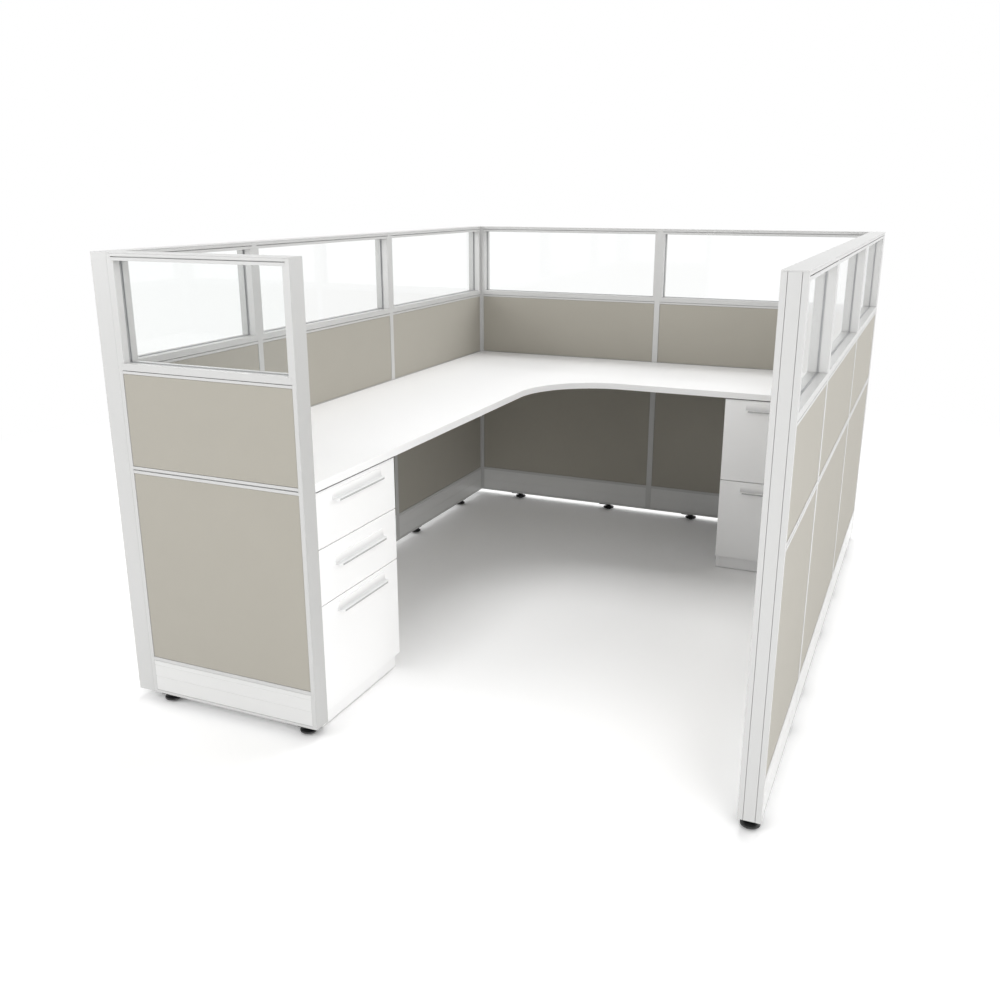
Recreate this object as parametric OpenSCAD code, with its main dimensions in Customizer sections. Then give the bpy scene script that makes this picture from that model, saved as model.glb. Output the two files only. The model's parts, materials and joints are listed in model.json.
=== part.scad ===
/* [Layout] */
// Width of a narrow panel, joint to joint
module_small = 609.6; // [500:0.1:800]
// Width of a wide panel, joint to joint
module_large = 914.4; // [800:0.1:1200]
// Thickness of every panel and side of every corner post
panel_t = 60; // [50:0.5:80]

/* [Panel heights] */
// Clear height between the floor and the panels
foot_gap = 32; // [22:0.5:60]
// Height of the cable raceway at the foot of a panel
raceway_h = 123; // [90:1:160]
// Height of the lower fabric tiles
lower_tile_h = 598; // [400:1:700]
// Height of the rail between the two tiles
mid_rail_h = 21; // [14:0.5:40]
// Height of the upper fabric tiles
upper_tile_h = 276; // [200:1:400]
// Height of the sill rail below a window
sill_h = 30; // [24:0.5:60]
// Clear height of a window
window_h = 288; // [150:1:450]
// Height of the top rail with its cap
top_rail_h = 23; // [20:0.5:40]

/* [Panel frame] */
// Width of a stile as it shows beside a tile
stile_w = 13; // [9:0.5:20]
// Width of the window jamb inside the stile
bead_w = 9; // [8.5:0.5:14]
// Depth of the reveals, the dark lines along the rails
reveal_d = 9; // [2:0.1:12]
// Height of the reveal in the mid rail
mid_reveal_h = 3; // [1.5:0.1:5]
// Height of the reveal in the sill rail
sill_reveal_h = 2; // [1.5:0.1:5]
// Height from the foot of the sill rail to its reveal
sill_reveal_up = 7.8; // [4:0.1:12]
// Height of the reveal in the top rail
top_reveal_h = 2.6; // [1.5:0.1:4]
// Height from the head of the window to the reveal in the top rail
top_reveal_up = 9; // [8.5:0.1:11]
// Thickness of the cap plate on top of panels and posts
cap_t = 3; // [1.5:0.1:4]
// Height and depth of the fine line under the cap plate
cap_line = 0.8; // [0.4:0.1:1.2]
// Height of the solid strip under the raceway cover
base_strip_h = 8.2; // [6:0.1:14]
// Height of the reveal between that strip and the cover
base_reveal_h = 2.8; // [1.5:0.1:5]
// Depth of that reveal
base_reveal_d = 1.5; // [1:0.1:6]
// Height of the rail that carries the lower tile
tile_rail_h = 11; // [6:0.1:16]
// Height of the shadow line above the raceway cover
cover_line_h = 1.5; // [0.5:0.1:3]
// Depth of the channel down the edge of each stile
channel_d = 5; // [3:0.1:7]
// Width of that channel
channel_w = 32; // [20:0.5:36]
// Wall of a corner post
post_wall = 3; // [2:0.1:5]
// Radius on the edges of a corner post
post_r = 2; // [0.5:0.1:5]
// Thickness of the trim plate on the wing's open end
trim_t = 1; // [0.8:0.1:3]
// Gap on each side of the cover strip on the right run's open end
strip_gap = 1; // [0.5:0.1:2]

/* [Tiles, covers and windows] */
// Thickness of a fabric tile
tile_t = 12; // [8:0.5:16]
// How far a tile lies behind the face of its frame
tile_recess = 1; // [0.5:0.1:3]
// Gap around a tile
tile_gap = 0.5; // [0.3:0.05:0.9]
// Radius on the edges of a tile's face, where the cloth is wrapped round
tile_edge_r = 2.5; // [0.5:0.1:5]
// Thickness of the raceway cover sheet
cover_t = 1.5; // [1:0.1:2.5]
// Depth of the folded edges of a raceway cover
cover_fold = 9; // [6:0.5:14]
// Height of each groove pressed into a raceway cover
cover_rib_h = 2.5; // [1.5:0.5:6]
// Depth of those grooves
cover_rib_d = 0.8; // [0.5:0.1:2]
// Thickness of the glass
glass_t = 6; // [4:0.5:8]
// How far the glass enters the frame
glass_in = 5; // [3:0.5:6]
// Thickness of the gasket around the glass
gasket_t = 11; // [10:0.5:14]
// How far the gasket shows around the glass
gasket_lip = 1.5; // [1:0.1:4]
// Depth of the groove that holds the gasket
groove_d = 8; // [6.5:0.1:8.2]

/* [Levelling feet] */
// Radius of the round base on which a foot stands
foot_base_r = 10; // [9.5:0.1:14]
// Radius of the flange above that base
foot_r = 14; // [12:0.5:20]
// Thickness of that flange
foot_flange_t = 6; // [4:0.5:8]
// Height of the nut above the flange
foot_nut_h = 7; // [4:0.5:8]
// Length of the plate that holds a foot under the frame
foot_plate_l = 56; // [40:1:80]
// Width of that plate
foot_plate_w = 50; // [30:1:54]
// Thickness of that plate
foot_plate_t = 5; // [2:0.5:5]
// How far the plate's middle lies beside the foot
foot_plate_off = 14; // [0:0.5:15]
// Radius of the threaded stem
foot_stem_r = 5; // [4:0.1:8]
// Radius of the nut under that plate
foot_nut_r = 9; // [8.5:0.1:14]
// Length of stem inside the frame
foot_stem_up = 45; // [25:1:60]
// Distance of a foot from the joint on a narrow panel
foot_in_small = 48; // [40:1:150]
// Distance of a foot from the joint on a wide panel
foot_in_large = 213; // [100:1:350]
// How far the two feet of a panel stand off its middle, but for the back run
foot_off = 9.5; // [0:0.5:15]

/* [Worksurface] */
// Height of the worksurface above the floor
desk_h = 772; // [700:1:800]
// Thickness of the worksurface
desk_t = 25; // [18:0.5:40]
// Depth of the left leg of the worksurface
desk_depth_left = 610; // [560:1:760]
// Depth of the back leg of the worksurface
desk_depth_back = 610; // [560:1:760]
// Radius of the inner corner
desk_r = 330; // [150:1:360]
// Thickness of the edge band
band_t = 2; // [1:0.1:3]
// Gap between the worksurface and the walls
desk_gap = 2; // [0.5:0.1:6]

/* [Worksurface brackets] */
// Reach of a cantilever bracket
bracket_len = 400; // [250:5:500]
// Height of a bracket at the wall
bracket_h = 90; // [50:1:140]
// Height of a bracket at its tip
bracket_tip_h = 22; // [12:1:45]
// Thickness of a bracket's plates
bracket_t = 4; // [2:0.1:6]
// Width of a bracket's top flange
bracket_flange_w = 40; // [24:1:60]
// Length of each arm of the corner cleat
cleat_len = 220; // [120:5:350]
// Width of the cleat's legs
cleat_w = 40; // [25:1:60]

/* [Pedestals] */
// Width of a pedestal
ped_w = 446; // [400:1:480]
// Gap between the left pedestal and the wing
ped_gap_left = 7; // [1:0.5:20]
// Gap between the right pedestal and the right run
ped_gap_right = 1.5; // [1:0.5:20]
// How far the drawer fronts lie behind the worksurface's edge
front_set = 6; // [2:0.5:20]
// Gap between a pedestal's back and the wall
ped_back_gap = 12; // [2:1:40]
// Thickness of the case boards
case_t = 16; // [12:0.5:19]
// Thickness of the case's back board
case_back_t = 8; // [4:0.5:16]
// Height of the toe kick
plinth_h = 58; // [30:1:80]
// How far the toe kick lies behind the drawer fronts
plinth_set = 19; // [12:0.5:60]
// Height of the glides under a pedestal
glide_h = 3; // [2:0.5:8]
// Radius of a glide
glide_r = 12; // [8:0.5:20]

/* [Drawers] */
// Thickness of a drawer front
front_t = 18; // [12:0.5:20]
// Gap between two drawer fronts
front_gap = 3; // [2:0.1:5]
// Gap between the top drawer front and the worksurface
front_top_gap = 4; // [2:0.1:8]
// Height of a file drawer's front
file_front_h = 338; // [300:1:360]
// Gap between a shut drawer front and the case
bumper_gap = 2; // [1:0.1:4]
// Thickness of a drawer box's boards
box_t = 12; // [9:0.5:16]
// Thickness of a drawer's bottom
box_bottom_t = 6; // [4:0.5:10]
// Height of a drawer's bottom above the foot of its box
box_bottom_up = 10; // [5:0.5:15]
// Height of a drawer box above the foot of its front
box_lift = 22; // [19:0.5:30]
// Height of the front that stands above its box
box_head = 38; // [25:1:60]
// Free space behind a shut drawer box
box_rear_gap = 50; // [20:1:90]

/* [Drawer slides] */
// Thickness of a closed slide, case board to drawer box
slide_t = 12.7; // [11:0.1:16]
// Height of a slide
slide_h = 45; // [32:0.5:55]
// Thickness of the slide's sheet steel
slide_sheet = 1.5; // [1:0.1:2]
// Clearance between two members of a slide
slide_clear = 0.3; // [0.2:0.05:0.5]
// Height of a slide above the foot of the drawer box
slide_up = 22; // [8:1:30]
// How far a slide starts behind the case's front edge
slide_in = 2; // [1:0.5:10]

/* [Drawer pulls] */
// Length of a drawer pull
pull_len = 276; // [150:1:340]
// Height of a drawer pull
pull_h = 33; // [29:0.5:45]
// How far a pull stands out
pull_out = 20; // [15:0.5:24]
// Thickness of a pull's wall
pull_t = 3; // [2:0.1:4]
// Height of a pull's lip, with the shelf above it
pull_lip_h = 7; // [4:0.5:9]
// Radius between a pull's flange and its shelf
pull_fillet_r = 4; // [1:0.5:6]
// Radius of the outer corners of a pull's shelf, seen from above
pull_corner_r = 10; // [4:0.5:10]
// Distance of a pull below the top of its front
pull_drop = 14; // [8:1:60]
// Distance of the middle drawer's pull below the top of its front
pull_drop_middle = 40; // [8:1:60]

/* [Hidden] */
$fn = 64;

// Facets round the small forms that repeat: feet, glides and the tiles' edges
small_fn = 16;

// Every cut runs this far past the face it opens
overrun = 1;
// Fine gap between the separate pieces of a frame, a case or a drawer box
joint_gap = 0.2;
// Clearance of a foot's stem in its hole
stem_clear = 0.1;
// Places of the two grooves of a raceway cover, as shares of its height
rib_shares = [0.46, 0.85];
// Slope of a foot's flange, as a share of its radius and of its thickness
flange_top_share = 0.72;
flange_rim_share = 0.5;

// Panels of each run, in order from the open end or the front
wing_widths = [module_small];
left_widths = [module_small, module_large, module_large];
back_widths = [module_large, module_large];
right_widths = [module_small, module_large, module_large];

function total(v, n) = n == 0 ? 0 : v[n - 1] + total(v, n - 1);
function foot_in(w) = w == module_small ? foot_in_small : foot_in_large;
function foot_places(w, off) = [foot_in(w) - off, w - foot_in(w) - off];

// Plan of the whole workstation, centred on the floor
x_out = total(back_widths, len(back_widths)) / 2 + panel_t;
y_out = total(left_widths, len(left_widths)) / 2 + panel_t;
x_in = x_out - panel_t;
y_in = y_out - panel_t;

// Levels of a panel above the floor
z_tile_1 = foot_gap + raceway_h;
z_mid = z_tile_1 + lower_tile_h;
z_tile_2 = z_mid + mid_rail_h;
z_sill = z_tile_2 + upper_tile_h;
z_window = z_sill + sill_h;
z_head = z_window + window_h;
z_top = z_head + top_rail_h;
z_cap = z_top - cap_t;

// Raceway cover, between the base rail and the rail under the tile
cover_z0 = foot_gap + base_strip_h + base_reveal_h;
cover_z1 = z_tile_1 - tile_rail_h - cover_line_h;
cover_h = cover_z1 - cover_z0;

// Window opening between the jambs of a panel
jamb_w = stile_w + bead_w;
tile_back = tile_recess + tile_t;
core_t = panel_t - 2 * tile_back;

// Pedestals and drawers, measured back from the plane of the fronts
desk_under = desk_h - desk_t;
case_y0 = front_t + bumper_gap;
left_case_y1 = desk_depth_left - front_set - ped_back_gap;
right_case_y1 = desk_depth_back - front_set - ped_back_gap;
left_box_y1 = left_case_y1 - case_back_t - box_rear_gap;
right_box_y1 = right_case_y1 - case_back_t - box_rear_gap;
fronts_top = desk_under - front_top_gap;
box_front_h = (fronts_top - plinth_h - file_front_h - 2 * front_gap) / 2;
middle_z0 = plinth_h + file_front_h + front_gap;
top_z0 = middle_z0 + box_front_h + front_gap;
upper_front_h = fronts_top - middle_z0;
box_x0 = case_t + slide_t;
box_x1 = ped_w - box_x0;

// Carries a 2D outline, drawn in Y and Z, along X
module along_x(len) {
    rotate([90, 0, 90]) linear_extrude(len) children();
}

// Carries a 2D outline, drawn in X and Z, along Y from y0
module along_y(y0, len) {
    translate([0, y0 + len, 0]) rotate([90, 0, 0]) linear_extrude(len) children();
}

// Places of the panels: each is drawn with its outer face at y = 0
module on_wing(i) {
    translate([-x_in + total(wing_widths, i), -y_out, 0]) children();
}
module on_left(i) {
    translate([-x_out, -y_in + total(left_widths, i + 1), 0]) rotate(-90) children();
}
module on_back(i) {
    translate([-x_in + total(back_widths, i + 1), y_out, 0]) rotate(180) children();
}
module on_right(i) {
    translate([x_out, -y_in + total(right_widths, i), 0]) rotate(90) children();
}
module at_left_pedestal() {
    translate([-x_in + desk_depth_left - front_set, -y_in + ped_gap_left, 0])
        rotate(90) children();
}
module at_right_pedestal() {
    translate([x_in - ped_gap_right - ped_w, y_in - desk_depth_back + front_set, 0])
        children();
}

// Square with round corners, as the outline of a post
module rounded_square(side, r) {
    translate([r, 0]) square([side - 2 * r, side]);
    translate([0, r]) square([side, side - 2 * r]);
    for (x = [r, side - r])
        for (y = [r, side - r])
            translate([x, y]) circle(r);
}

// Hollow corner post with a closed top
module corner_post() {
    color("whitesmoke") translate([0, 0, foot_gap]) difference() {
        linear_extrude(z_top - foot_gap) rounded_square(panel_t, post_r);
        translate([post_wall, post_wall, -overrun])
            cube([panel_t - 2 * post_wall, panel_t - 2 * post_wall,
                z_cap - foot_gap + overrun]);
    }
}

// Outline of a rail, as deep as the panel, with a reveal in both faces
module rail_outline(h, reveal_z, line_h, line_d) {
    difference() {
        square([panel_t, h]);
        reveal_outline(reveal_z, line_h, line_d);
    }
}
module reveal_outline(z, h, d) {
    for (y = [-overrun, panel_t - d])
        translate([y, z]) square([d + overrun, h]);
}

// Groove for the gasket, cut into an outline whose edge is at height z
module groove_outline(z, up) {
    translate([(panel_t - gasket_t) / 2, up ? z - groove_d : z - overrun])
        square([gasket_t, groove_d + overrun]);
}

// One upright of a frame: the stile, its tile carrier and its window jamb
module stile() {
    difference() {
        union() {
            translate([0, 0, foot_gap])
                cube([stile_w, panel_t, z_cap - joint_gap - foot_gap]);
            translate([0, tile_back, z_tile_1 + joint_gap])
                cube([jamb_w, core_t, lower_tile_h - 2 * joint_gap]);
            translate([0, tile_back, z_tile_2 + joint_gap])
                cube([jamb_w, core_t, upper_tile_h - 2 * joint_gap]);
            translate([0, 0, z_window + joint_gap])
                cube([jamb_w, panel_t, window_h - 2 * joint_gap]);
        }
        translate([-overrun, (panel_t - channel_w) / 2, foot_gap - overrun])
            cube([channel_d + overrun, channel_w, z_cap - foot_gap + overrun]);
        translate([jamb_w - groove_d, (panel_t - gasket_t) / 2, z_window])
            cube([groove_d + overrun, gasket_t, window_h]);
    }
}

// Frame of one panel: two uprights, five rails between them
module panel_frame(w, off = foot_off) {
    span = w - 2 * (stile_w + joint_gap);
    color("whitesmoke") {
        stile();
        translate([w, 0, 0]) mirror([1, 0, 0]) stile();
        translate([stile_w + joint_gap, 0, foot_gap]) difference() {
            along_x(span) rail_outline(base_strip_h + base_reveal_h, base_strip_h,
                base_reveal_h + overrun, base_reveal_d);
            for (x = foot_places(w, off))
                translate([x - stile_w - joint_gap, panel_t / 2, -overrun])
                    cylinder(r = foot_stem_r + stem_clear,
                        h = base_strip_h + base_reveal_h + 2 * overrun, $fn = small_fn);
        }
        translate([stile_w + joint_gap, 0, z_tile_1 - tile_rail_h - cover_line_h])
            along_x(span) rail_outline(tile_rail_h + cover_line_h, -overrun,
                cover_line_h + overrun, base_reveal_d);
        translate([stile_w + joint_gap, 0, z_mid])
            along_x(span) rail_outline(mid_rail_h, (mid_rail_h - mid_reveal_h) / 2,
                mid_reveal_h, reveal_d);
        translate([stile_w + joint_gap, 0, z_sill]) along_x(span) difference() {
            rail_outline(sill_h, sill_reveal_up, sill_reveal_h, reveal_d);
            groove_outline(sill_h, true);
        }
        translate([stile_w + joint_gap, 0, z_head]) along_x(span) difference() {
            rail_outline(top_rail_h - cap_t / 2, top_reveal_up, top_reveal_h, reveal_d);
            reveal_outline(top_rail_h - cap_t - cap_line, cap_line, cap_line);
            groove_outline(0, false);
        }
        translate([0, 0, z_cap]) cube([w, panel_t, cap_t]);
    }
}

// Section of a tile, its thickness in X, with the two corners of its face round
module tile_outline(len) {
    translate([tile_edge_r, 0]) square([tile_t - tile_edge_r, len]);
    translate([0, tile_edge_r]) square([2 * tile_edge_r, len - 2 * tile_edge_r]);
    for (y = [tile_edge_r, len - tile_edge_r])
        translate([tile_edge_r, y]) circle(tile_edge_r, $fn = small_fn);
}

// One tile with its face towards -Y: the same section across and down
module tile(w, h) {
    intersection() {
        along_x(w) tile_outline(h);
        linear_extrude(h) mirror([1, -1]) tile_outline(w);
    }
}

// Both tiles on both faces of one panel
module panel_tiles(w) {
    tile_w = w - 2 * (stile_w + tile_gap);
    color([0.72, 0.70, 0.66])
        for (z = [[z_tile_1, lower_tile_h], [z_tile_2, upper_tile_h]])
            translate([stile_w + tile_gap, 0, z[0] + tile_gap]) {
                translate([0, tile_recess, 0]) tile(tile_w, z[1] - 2 * tile_gap);
                translate([0, panel_t - tile_recess, 0]) mirror([0, 1, 0])
                    tile(tile_w, z[1] - 2 * tile_gap);
            }
}

// Outline of a raceway cover: a sheet with two ribs and folded edges
module cover_outline() {
    difference() {
        union() {
            square([cover_t, cover_h]);
            for (z = [0, cover_h - cover_t])
                translate([0, z]) square([cover_fold, cover_t]);
            for (s = rib_shares)
                translate([0, s * cover_h - cover_t])
                    square([cover_t + cover_rib_d, cover_rib_h + 2 * cover_t]);
        }
        for (s = rib_shares)
            translate([-overrun, s * cover_h])
                square([cover_rib_d + overrun, cover_rib_h]);
    }
}
module panel_covers(w) {
    color("white")
        translate([stile_w + tile_gap, 0, cover_z0]) {
            along_x(w - 2 * (stile_w + tile_gap)) cover_outline();
            translate([0, panel_t, 0]) mirror([0, 1, 0])
                along_x(w - 2 * (stile_w + tile_gap)) cover_outline();
        }
}

// Pane of one window
module panel_glass(w) {
    color([0.85, 0.92, 0.92, 0.35])
        translate([jamb_w - glass_in, (panel_t - glass_t) / 2, z_window - glass_in])
            cube([w - 2 * (jamb_w - glass_in), glass_t, window_h + 2 * glass_in]);
}

// Gasket of one window: a ring that fills the groove and holds the glass
module panel_gasket(w) {
    ring_in = groove_d + gasket_lip;
    color([0.45, 0.46, 0.47])
        translate([jamb_w - groove_d, (panel_t - gasket_t) / 2, z_window - groove_d])
            difference() {
                cube([w - 2 * (jamb_w - groove_d), gasket_t, window_h + 2 * groove_d]);
                translate([ring_in, -overrun, ring_in])
                    cube([w - 2 * (jamb_w + gasket_lip), gasket_t + 2 * overrun,
                        window_h - 2 * gasket_lip]);
                translate([groove_d - glass_in, (gasket_t - glass_t) / 2,
                    groove_d - glass_in])
                    cube([w - 2 * (jamb_w - glass_in), glass_t, window_h + 2 * glass_in]);
            }
}

// Strip that joins two stiles, or a stile and a post, inside their channels
module connector(depth, start) {
    color("silver")
        translate([start, (panel_t - channel_w) / 2 + joint_gap, foot_gap])
            cube([depth, channel_w - 2 * joint_gap, z_cap - joint_gap - foot_gap]);
}
module joint_connector() {
    connector(2 * (channel_d - joint_gap), joint_gap - channel_d);
}
module post_connector(w) {
    connector(channel_d - joint_gap, w == 0 ? 0 : w - channel_d + joint_gap);
}
module all_connectors() {
    on_wing(0) post_connector(0);
    for (i = [0, 1]) on_left(i) joint_connector();
    on_left(2) post_connector(0);
    on_left(0) post_connector(left_widths[0]);
    on_back(0) joint_connector();
    on_back(1) post_connector(0);
    on_back(0) post_connector(back_widths[0]);
    for (i = [1, 2]) on_right(i) joint_connector();
    on_right(2) post_connector(right_widths[2]);
}

// Finished ends: a full plate on the wing, a cover strip on the right run
module end_trims() {
    strip_w = channel_w - 2 * strip_gap;
    color("whitesmoke") {
        on_wing(0) translate([wing_widths[0], 0, foot_gap]) {
            cube([trim_t, panel_t, z_top - foot_gap]);
            translate([joint_gap - channel_d, (panel_t - strip_w) / 2, 0])
                cube([channel_d - joint_gap + trim_t / 2, strip_w,
                    z_cap - joint_gap - foot_gap]);
        }
        on_right(0) translate([0, (panel_t - strip_w) / 2, foot_gap])
            cube([channel_d, strip_w, z_cap - joint_gap - foot_gap]);
    }
}

// Levelling foot: base, flange, nut and stem in one turned form, under a plate to one side
module foot() {
    plate_z = foot_gap - foot_plate_t;
    nut_z = plate_z - foot_nut_h;
    flange_z = nut_z - foot_flange_t;
    rotate_extrude($fn = small_fn)
        polygon([[0, 0], [foot_base_r, 0], [foot_base_r, flange_z], [foot_r, flange_z],
            [foot_r, flange_z + foot_flange_t * flange_rim_share],
            [foot_r * flange_top_share, nut_z], [foot_nut_r, nut_z],
            [foot_nut_r, plate_z - joint_gap], [foot_stem_r, plate_z - joint_gap],
            [foot_stem_r, foot_gap + foot_stem_up], [0, foot_gap + foot_stem_up]]);
    difference() {
        translate([foot_plate_off - foot_plate_l / 2, -foot_plate_w / 2, plate_z])
            cube([foot_plate_l, foot_plate_w, foot_plate_t]);
        translate([0, 0, plate_z - overrun])
            cylinder(r = foot_stem_r + stem_clear, h = foot_plate_t + 2 * overrun,
                $fn = small_fn);
    }
}
module panel_feet(w, off = foot_off) {
    for (x = foot_places(w, off))
        translate([x, panel_t / 2, 0]) foot();
}
module pedestal_glides(case_y1) {
    for (x = [glide_r + case_t, ped_w - glide_r - case_t])
        for (y = [plinth_set + case_t + glide_r, case_y1 - case_t - glide_r])
            translate([x, y, 0]) glide();
}
module glide() {
    cylinder(r = glide_r, h = plinth_h - joint_gap, $fn = small_fn);
}
module levelling_feet() {
    color([0.08, 0.08, 0.08]) {
        on_wing(0) panel_feet(wing_widths[0]);
        for (i = [0 : len(left_widths) - 1]) on_left(i) panel_feet(left_widths[i]);
        for (i = [0 : len(back_widths) - 1]) on_back(i) panel_feet(back_widths[i], 0);
        for (i = [0 : len(right_widths) - 1]) on_right(i) panel_feet(right_widths[i]);
        at_left_pedestal() pedestal_glides(left_case_y1);
        at_right_pedestal() pedestal_glides(right_case_y1);
    }
}

// Plan of the worksurface, its two front edges moved back by inset
module desk_plan(inset) {
    xe = -x_in + desk_depth_left - inset;
    ye = y_in - desk_depth_back + inset;
    r = desk_r + inset;
    translate([-x_in + desk_gap, -y_in + desk_gap])
        square([desk_depth_left - inset - desk_gap, 2 * (y_in - desk_gap)]);
    translate([-x_in + desk_gap, ye])
        square([2 * (x_in - desk_gap), desk_depth_back - inset - desk_gap]);
    difference() {
        translate([xe - overrun, ye - r]) square([r + overrun, r + overrun]);
        translate([xe + r, ye - r]) circle(r);
    }
}
module worksurface() {
    color("white") translate([0, 0, desk_under])
        linear_extrude(desk_t) desk_plan(band_t);
}
module edge_band() {
    color([0.85, 0.85, 0.84]) translate([0, 0, desk_under])
        linear_extrude(desk_t) difference() {
            desk_plan(0);
            desk_plan(band_t);
        }
}

// Cantilever bracket: tapered web, flange under the worksurface, wall plate
module cantilever() {
    translate([-bracket_t / 2, 0, desk_under]) along_x(bracket_t)
        polygon([[0, 0], [0, -bracket_h], [bracket_flange_w, -bracket_h],
            [bracket_len, -bracket_tip_h], [bracket_len, 0]]);
    translate([-bracket_flange_w / 2, 0, desk_under - bracket_t])
        cube([bracket_flange_w, bracket_len, bracket_t]);
    translate([-stile_w, 0, desk_under - bracket_h])
        cube([2 * stile_w, bracket_t, bracket_h]);
}

// Angle cleat along both walls of the back left corner
module corner_cleat() {
    translate([-x_in, y_in, desk_under]) {
        translate([0, -cleat_len, -bracket_t]) cube([cleat_w, cleat_len, bracket_t]);
        translate([0, -cleat_w, -bracket_t]) cube([cleat_len, cleat_w, bracket_t]);
        translate([0, -cleat_len, -cleat_w]) cube([bracket_t, cleat_len, cleat_w]);
        translate([0, -bracket_t, -cleat_w]) cube([cleat_len, bracket_t, cleat_w]);
    }
}
module desk_brackets() {
    color("gainsboro") {
        for (i = [1, 2])
            translate([-x_in, -y_in + total(left_widths, i), 0]) rotate(-90) cantilever();
        translate([-x_in + total(back_widths, 1), y_in, 0]) rotate(180) cantilever();
        corner_cleat();
    }
}

// Pedestal case, drawn with the plane of its fronts at y = 0, facing -Y
module pedestal_case(case_y1) {
    color("white") {
        for (x = [0, ped_w - case_t])
            translate([x, case_y0, plinth_h])
                cube([case_t, case_y1 - case_y0, desk_under - plinth_h]);
        for (z = [plinth_h, desk_under - case_t])
            translate([case_t + joint_gap, case_y0, z])
                cube([ped_w - 2 * (case_t + joint_gap), case_y1 - case_y0, case_t]);
        translate([case_t + joint_gap, case_y1 - case_back_t,
            plinth_h + case_t + joint_gap])
            cube([ped_w - 2 * (case_t + joint_gap), case_back_t,
                desk_under - plinth_h - 2 * (case_t + joint_gap)]);
        pedestal_plinth(case_y1);
    }
}

// Plinth of a pedestal: four boards on edge, the front one set back for toes
module pedestal_plinth(case_y1) {
    board_h = plinth_h - glide_h - joint_gap;
    for (x = [0, ped_w - case_t])
        translate([x, plinth_set, glide_h]) cube([case_t, case_y1 - plinth_set, board_h]);
    for (y = [plinth_set, case_y1 - case_t])
        translate([case_t + joint_gap, y, glide_h])
            cube([ped_w - 2 * (case_t + joint_gap), case_t, board_h]);
}

// Outline of a slide member: a channel open to +X
module channel_outline(w, h) {
    difference() {
        square([w, h]);
        translate([slide_sheet, slide_sheet])
            square([w - slide_sheet + overrun, h - 2 * slide_sheet]);
    }
}
member_step = slide_sheet + slide_clear;
slide_z_up = slide_up + box_lift;

// The three members of a slide, from the case board inwards
module cabinet_member_outline() {
    channel_outline(slide_t - slide_sheet / 2, slide_h);
}
module middle_member_outline() {
    translate([member_step, member_step])
        channel_outline(slide_t - slide_sheet / 2 - member_step, slide_h - 2 * member_step);
}
module drawer_member_outline() {
    translate([slide_t, 2 * member_step]) mirror([1, 0])
        channel_outline(slide_t - 2 * member_step, slide_h - 4 * member_step);
}

// Slide members on both sides of one drawer
module slide_pair(z0, box_y1) {
    translate([0, 0, z0 + slide_z_up]) {
        translate([case_t, 0, 0]) along_y(case_y0 + slide_in, box_y1 - case_y0 - slide_in)
            children();
        translate([ped_w - case_t, 0, 0]) mirror([1, 0, 0])
            along_y(case_y0 + slide_in, box_y1 - case_y0 - slide_in) children();
    }
}
module cabinet_slides() {
    color("silver") {
        at_left_pedestal() for (z = [plinth_h, middle_z0, top_z0])
            slide_pair(z, left_box_y1) cabinet_member_outline();
        at_right_pedestal() for (z = [plinth_h, middle_z0])
            slide_pair(z, right_box_y1) cabinet_member_outline();
    }
}
module middle_slide(z0, box_y1) {
    color("silver") slide_pair(z0, box_y1) middle_member_outline();
}
module drawer_slide(z0, box_y1) {
    color("silver") slide_pair(z0, box_y1) drawer_member_outline();
}

// Drawer front, box and pull
module drawer_front(z0, h) {
    color("white") translate([0, 0, z0]) cube([ped_w, front_t, h]);
}
module drawer_box(z0, h, box_y1) {
    box_h = h - box_lift - box_head;
    inner_w = box_x1 - box_x0 - 2 * (box_t + joint_gap);
    color("gainsboro") translate([0, 0, z0 + box_lift]) {
        for (x = [box_x0, box_x1 - box_t])
            translate([x, front_t, 0]) cube([box_t, box_y1 - front_t, box_h]);
        for (y = [front_t, box_y1 - box_t])
            translate([box_x0 + box_t + joint_gap, y, 0]) cube([inner_w, box_t, box_h]);
        translate([box_x0 + box_t + joint_gap, front_t + box_t + joint_gap, box_bottom_up])
            cube([inner_w, box_y1 - front_t - 2 * (box_t + joint_gap), box_bottom_t]);
    }
}

// Outline of a pull: flange, shelf and lip, standing out towards -Y
module pull_outline() {
    shelf_z = pull_lip_h - pull_t;
    mirror([1, 0]) {
        translate([0, shelf_z]) square([pull_t, pull_h - shelf_z]);
        translate([0, shelf_z]) square([pull_out, pull_t]);
        translate([pull_out - pull_t, 0]) square([pull_t, pull_lip_h]);
        translate([pull_t, pull_lip_h]) difference() {
            translate([-pull_t / 2, -pull_t / 2]) square(pull_fillet_r + pull_t / 2);
            translate([pull_fillet_r, pull_fillet_r]) circle(pull_fillet_r);
        }
    }
}

// Cut that rounds one outer corner of a pull, seen from above
module pull_corner_cut() {
    side = pull_corner_r + overrun;
    translate([pull_corner_r, pull_corner_r - pull_out, -overrun])
        linear_extrude(pull_lip_h + 2 * overrun) difference() {
            translate([-side, -side]) square(side);
            circle(pull_corner_r);
        }
}
module drawer_pull(z0, h, drop) {
    color("silver")
        translate([(ped_w - pull_len) / 2, 0, z0 + h - drop - pull_h]) difference() {
            along_x(pull_len) pull_outline();
            pull_corner_cut();
            translate([pull_len, 0, 0]) mirror([1, 0, 0]) pull_corner_cut();
        }
}

module post_front_left() {
    translate([-x_out, -y_out, 0]) corner_post();
}
module post_back_left() {
    translate([-x_out, y_in, 0]) corner_post();
}
module post_back_right() {
    translate([x_in, y_in, 0]) corner_post();
}
module window_gaskets() {
    on_wing(0) panel_gasket(wing_widths[0]);
    for (i = [0 : len(left_widths) - 1]) on_left(i) panel_gasket(left_widths[i]);
    for (i = [0 : len(back_widths) - 1]) on_back(i) panel_gasket(back_widths[i]);
    for (i = [0 : len(right_widths) - 1]) on_right(i) panel_gasket(right_widths[i]);
}

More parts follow.
